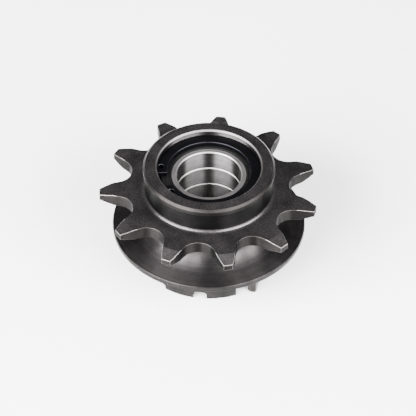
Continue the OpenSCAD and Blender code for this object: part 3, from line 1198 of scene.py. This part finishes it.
@dataclass
class Ratchet:
    """The three pawls and their leaf springs, in millimetres."""

    body: DriverBody
    heel_r: float = 1.5
    rest: float = 70.2
    length: float = 7.15
    top: float = 0.4
    under: float = 1.64
    end_gap: float = 0.1
    edge: float = 0.15
    heel_start: float = 0.88
    heel_end: float = 44.0
    back_start: float = 0.4
    tip_corner: float = 0.2
    tip_fall: float = 0.87
    nose: float = 0.31
    nose_fall: float = 1.72
    nose_lean: float = 0.24
    leaf_t: float = 0.18
    leaf_w: float = 5.0
    leaf_tail: float = 3.6
    leaf_bend: float = 10.4
    leaf_gap: float = 0.05
    leaf_reach: float = 5.0
    leaf_inside: float = 0.06
    leaf_up: float = 0.75

    def pawl_outline(self) -> list[Point]:
        """Plan of a pawl with its pivot at the origin and its blade along +X.

        Returns:
            Its outline.
        """
        heel, nose, long = self.heel_r, self.nose, self.length
        start = math.degrees(math.asin(self.heel_start))
        return [
            *arc((0, 0), heel, 360 - start, self.heel_end, 22),
            (heel + self.back_start, self.top),
            (long - self.tip_corner, self.top),
            (long, self.top - self.tip_fall),
            (long - nose, self.top - self.nose_fall),
            (long - nose - self.nose_lean, -self.under),
        ]

    def pawl(self, k: int, paint: Paint) -> bpy.types.Object:
        """Cuts one pawl and stands it in its pocket.

        Args:
            k: its number, from 1.
            paint: hands out the materials.

        Returns:
            The pawl.
        """
        b = self.body
        bm = bmesh.new()
        prism(bm, self.pawl_outline(), b.low + self.end_gap, b.flange_low - self.end_gap)
        where = b.pivot_turn + b.step * (k - 1)
        swing(bm, bm.verts, math.radians(where - self.rest))
        bmesh.ops.translate(bm, vec=turn(b.pivot_r, where), verts=bm.verts)
        pawl = add_object(f"ground_pawl_{k}", bm)
        paint.dress(pawl, Finish.PAWL)
        break_edges(pawl, self.edge, 0)
        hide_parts(f"pawl_{k}")
        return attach(pawl, f"pawl_{k}")

    def leaf_path(self) -> list[Vector]:
        """Middle line of the first leaf spring: floor leg, hairpin bend and free leg.

        Returns:
            Its points, from the fixed end.
        """
        b = self.body
        middle = b.pocket_floor_r + self.leaf_gap + self.leaf_t / 2
        first = b.pocket_start - self.leaf_tail
        last = b.pocket_end - self.leaf_bend
        bend_r = self.leaf_t / 2 + self.leaf_inside
        floor = [turn(middle, first + (last - first) * i / 8) for i in range(9)]
        hub = turn(middle + bend_r, last)
        bend = [hub + turn(bend_r, last + 180 - 180 * i / 6) for i in range(1, 7)]
        blade = b.pivot_turn - self.rest
        depth = self.under + self.leaf_gap + self.leaf_t / 2
        press = turn(b.pivot_r, b.pivot_turn) + turn(self.leaf_reach, blade)
        press += turn(depth, blade - 90)
        leg = [bend[-1].lerp(press, i / 8) for i in range(1, 9)]
        return floor + bend + leg

    def leaf(self, k: int, paint: Paint) -> bpy.types.Object:
        """Bends one leaf spring out of strip, fixed in the lug and free at the pawl.

        Its floor leg lies on the pocket's floor; the spring is joined to no body, so the free leg
        does not follow the pawl.

        Args:
            k: its number, from 1.
            paint: hands out the materials.

        Returns:
            The spring.
        """
        b = self.body
        low = b.low + self.leaf_up
        spin = Matrix.Rotation(math.radians(b.step * (k - 1)), 3, "Z")
        path = [spin @ p for p in self.leaf_path()]
        bm = bmesh.new()
        verts = [bm.verts.new((p.x, p.y, low)) for p in path]
        edges = [bm.edges.new(pair) for pair in zip(verts, verts[1:])]
        made = bmesh.ops.extrude_edge_only(bm, edges=edges)
        top = [v for v in made["geom"] if isinstance(v, bmesh.types.BMVert)]
        bmesh.ops.translate(bm, vec=(0, 0, self.leaf_w), verts=top)
        leaf = add_object(f"strip_spring_{k}", bm)
        step = leaf.modifiers.new("strip", "SOLIDIFY")
        step.thickness = self.leaf_t * MM
        step.offset = 0
        paint.dress(leaf, Finish.LEAF)
        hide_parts(f"pawl_spring_{k}")
        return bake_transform(leaf)

    def build(self, paint: Paint) -> list[bpy.types.Object]:
        """Makes all pawls and springs.

        Args:
            paint: hands out the materials.

        Returns:
            All of them.
        """
        made = []
        for k in range(1, self.body.pawls + 1):
            made += [self.pawl(k, paint), self.leaf(k, paint)]
        return made


@dataclass(frozen=True)
class SoftBox:
    """A soft box that faces the object, in millimetres and watts."""

    name: str
    place: tuple[float, float, float]
    size: Point
    power: float

    def hang(self) -> None:
        """Hangs the lamp and turns it to the object."""
        data = bpy.data.lights.new(self.name, "AREA")
        data.shape = "RECTANGLE"
        data.size, data.size_y = self.size[0] * MM, self.size[1] * MM
        data.energy = self.power
        lamp = bpy.data.objects.new(self.name, data)
        place = Vector(self.place) * MM
        aim = (-place).to_track_quat("-Z", "Y")
        lamp.matrix_world = Matrix.Translation(place) @ aim.to_matrix().to_4x4()
        bpy.context.scene.collection.objects.link(lamp)


@dataclass
class Studio:
    """Camera, floor and lights, in millimetres and degrees."""

    elevation: float = 43.63
    roll: float = 0.24
    distance: float = 811.4
    aside: float = 0.21
    above: float = 3.71
    lens: float = 302.9
    sensor: float = 36.0
    floor_size: float = 4000.0
    clip_near: float = 50.0
    clip_far: float = 20000.0
    floor_colour: str = "#fbfbfb"
    fill: float = 0.25
    lamps: tuple[SoftBox, ...] = (
        SoftBox("left_softbox", (-400, -335, 300), (600, 420), 37.0),
        SoftBox("right_softbox", (400, -335, 300), (600, 420), 24.0),
        SoftBox("top_softbox", (0, 230, 680), (420, 260), 0.95),
    )

    def camera(self) -> None:
        """Places the camera where the photograph was taken from."""
        e, r = math.radians(self.elevation), math.radians(self.roll)
        back = Vector((0, -math.cos(e), math.sin(e)))
        right, up = Vector((1, 0, 0)), Vector((0, math.sin(e), math.cos(e)))
        side = math.cos(r) * right + math.sin(r) * up
        head = -math.sin(r) * right + math.cos(r) * up
        spot = (back * self.distance - side * self.aside - head * self.above) * MM
        data = bpy.data.cameras.new("photo_camera")
        data.lens = self.lens
        data.sensor_width = self.sensor
        data.clip_start, data.clip_end = self.clip_near * MM, self.clip_far * MM
        camera = bpy.data.objects.new("photo_camera", data)
        frame = Matrix((side, head, back)).transposed().to_4x4()
        camera.matrix_world = Matrix.Translation(spot) @ frame
        bpy.context.scene.collection.objects.link(camera)
        bpy.context.scene.camera = camera

    def floor(self, low: float) -> bpy.types.Object:
        """Lays a pale floor under the object.

        Args:
            low: its height in millimetres.

        Returns:
            The floor.
        """
        bm = bmesh.new()
        bmesh.ops.create_grid(bm, x_segments=1, y_segments=1, size=self.floor_size / 2)
        bmesh.ops.translate(bm, vec=(0, 0, low), verts=bm.verts)
        floor = add_object("floor", bm)
        n = Nodes("pale_floor")
        n.shade(Base_Color=linear(self.floor_colour), Roughness=0.9)
        floor.data.materials.append(n.material)
        return floor

    def build(self, low: float) -> None:
        """Sets up the whole studio.

        Args:
            low: the floor's height in millimetres.
        """
        self.camera()
        self.floor(low)
        world = bpy.data.worlds.new("studio")
        bpy.context.scene.world = world
        world.use_nodes = True
        backdrop = world.node_tree.nodes["Background"]
        backdrop.inputs["Color"].default_value = (1, 1, 1, 1)
        backdrop.inputs["Strength"].default_value = self.fill
        for lamp in self.lamps:
            lamp.hang()


def main() -> None:
    """Builds the pieces in order and reports each."""
    logging.basicConfig(level=logging.INFO, format="%(name)s: %(message)s")
    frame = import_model()
    nodes = frame["nodes"]
    paint = Paint()
    body = DriverBody()
    Studio().build(body.low)
    made = [body.build(paint), RetainingRing().build(paint), Spacer().build(paint)]
    for name, middle in BEARINGS:
        made += Bearing(name, middle).build(paint, nodes)
    made += Ratchet(body).build(paint)
    for piece in made:
        log.info("%s: %d vertices", piece.name, len(piece.data.vertices))


if __name__ == "__main__":
    main()
